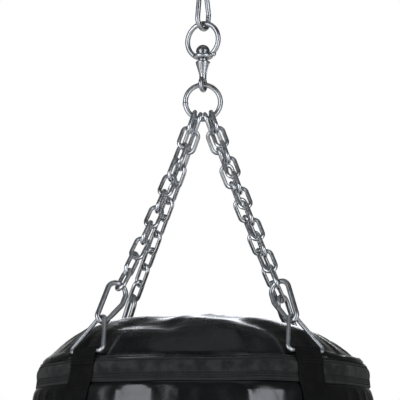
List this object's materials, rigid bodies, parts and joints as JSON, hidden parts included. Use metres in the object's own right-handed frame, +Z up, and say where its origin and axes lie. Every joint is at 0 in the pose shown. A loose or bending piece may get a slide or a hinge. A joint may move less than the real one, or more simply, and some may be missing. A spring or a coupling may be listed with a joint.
{
  "type": "hanging punching bag",
  "caption": "Heavy cylindrical vinyl punching bag hung by chains, snap hooks, webbing straps and triangle rings from a ring, a swivel and a top snap hook.",
  "frame": {"origin": "where the support's wire bears inside the narrow bow of the top snap hook; the bag hangs below it", "axes": "+Z up along the line of hang; -Y is the bag's front, the side the picture looks at, and +X its right as seen from there"},
  "size_m": [0.345, 0.345, 1.5864],
  "materials": {
    "zinc_steel": "bright zinc-plated wire",
    "dark_steel": "plated steel",
    "chain_steel": "bright zinc-plated chain",
    "vinyl": "glossy black vinyl",
    "cover_vinyl": "satin black vinyl",
    "collar_web": "matt dark grey webbing",
    "webbing": "ribbed black webbing",
    "foam": "open-cell foam sheet",
    "textile": "packed textile",
    "zip_black": "black zip"
  },
  "bodies": {
    "top_hook": {"top_hook_body": "zinc_steel"},
    "top_gate": {"top_hook_gate": "zinc_steel", "top_hook_pin": "dark_steel", "top_hook_spring": "dark_steel"},
    "upper_ring": {"upper_ring": "zinc_steel"},
    "swivel": {"swivel_pin": "dark_steel", "swivel_washer": "dark_steel", "swivel_neck": "dark_steel", "swivel_yoke": "zinc_steel"},
    "lower_ring": {"lower_ring": "zinc_steel"},
    "bag": {"bag_shell": "vinyl", "top_collar": "collar_web", "top_cover": "cover_vinyl", "bottom_panel": "vinyl", "bottom_binding": "collar_web", "foam_liner": "foam", "textile_fill": "textile", "zip_tape": "zip_black", "chain_front_left": "chain_steel", "hook_front_left_body": "zinc_steel", "triangle_front_left": "zinc_steel", "strap_front_left": "webbing", "chain_front_right": "chain_steel", "hook_front_right_body": "zinc_steel", "triangle_front_right": "zinc_steel", "strap_front_right": "webbing", "chain_back_left": "chain_steel", "hook_back_left_body": "zinc_steel", "triangle_back_left": "zinc_steel", "strap_back_left": "webbing", "chain_back_right": "chain_steel", "hook_back_right_body": "zinc_steel", "triangle_back_right": "zinc_steel", "strap_back_right": "webbing"},
    "gate_front_left": {"hook_front_left_gate": "zinc_steel", "hook_front_left_pin": "dark_steel", "hook_front_left_spring": "dark_steel"},
    "gate_front_right": {"hook_front_right_gate": "zinc_steel", "hook_front_right_pin": "dark_steel", "hook_front_right_spring": "dark_steel"},
    "gate_back_left": {"hook_back_left_gate": "zinc_steel", "hook_back_left_pin": "dark_steel", "hook_back_left_spring": "dark_steel"},
    "gate_back_right": {"hook_back_right_gate": "zinc_steel", "hook_back_right_pin": "dark_steel", "hook_back_right_spring": "dark_steel"},
    "zip_slider": {"zip_slider": "dark_steel"},
    "zip_pull": {"zip_pull": "dark_steel"}
  },
  "joints": [
    {"name": "top_gate_opens", "type": "hinge", "parent": "top_hook", "child": "top_gate", "pos_m": [0.00358, 0.00551, -0.00756], "axis": [-0.8387, 0.5446, 0], "range_deg": [0, 38], "stiffness_Nm_per_rad": 0.06, "springref_deg": -28.65},
    {"name": "upper_ring_swings", "type": "hinge", "parent": "top_hook", "child": "upper_ring", "pos_m": [0, 0, -0.04279], "axis": [0.5446, 0.8387, 0], "range_deg": [-45, 45]},
    {"name": "swivel_turns", "type": "hinge", "parent": "upper_ring", "child": "swivel", "pos_m": [0, 0, -0.07604], "axis": [0, 0, 1], "continuous": true},
    {"name": "lower_ring_swings", "type": "hinge", "parent": "swivel", "child": "lower_ring", "pos_m": [0, 0, -0.10524], "axis": [0.3746, 0.9272, 0], "range_deg": [-12, 12]},
    {"name": "bag_swings", "type": "hinge", "parent": "lower_ring", "child": "bag", "pos_m": [0, 0, -0.13364], "axis": [1, 0, 0], "range_deg": [-20, 20]},
    {"name": "gate_front_left_opens", "type": "hinge", "parent": "bag", "child": "gate_front_left", "pos_m": [-0.0869, -0.09484, -0.34057], "axis": [0.4907, -0.8374, 0.2406], "range_deg": [0, 38], "stiffness_Nm_per_rad": 0.06, "springref_deg": -28.65},
    {"name": "gate_front_right_opens", "type": "hinge", "parent": "bag", "child": "gate_front_right", "pos_m": [0.07592, -0.10262, -0.3402], "axis": [0.5697, 0.7888, -0.2308], "range_deg": [0, 38], "stiffness_Nm_per_rad": 0.06, "springref_deg": -28.65},
    {"name": "gate_back_left_opens", "type": "hinge", "parent": "bag", "child": "gate_back_left", "pos_m": [-0.0807, 0.10147, -0.33664], "axis": [-0.921, -0.3479, 0.1754], "range_deg": [0, 38], "stiffness_Nm_per_rad": 0.06, "springref_deg": -28.65},
    {"name": "gate_back_right_opens", "type": "hinge", "parent": "bag", "child": "gate_back_right", "pos_m": [0.08893, 0.09172, -0.33807], "axis": [-0.8305, 0.548, -0.1001], "range_deg": [0, 38], "stiffness_Nm_per_rad": 0.06, "springref_deg": -28.65},
    {"name": "zip_slides", "type": "hinge", "parent": "bag", "child": "zip_slider", "pos_m": [0, 0, -0.82144], "axis": [0, 0.9945, -0.1045], "range_deg": [0, 18.2]},
    {"name": "zip_pull_flips", "type": "hinge", "parent": "zip_slider", "child": "zip_pull", "pos_m": [-0.07862, 0.05131, -0.33329], "axis": [0, -0.9945, 0.1045], "range_deg": [0, 150]}
  ]
}
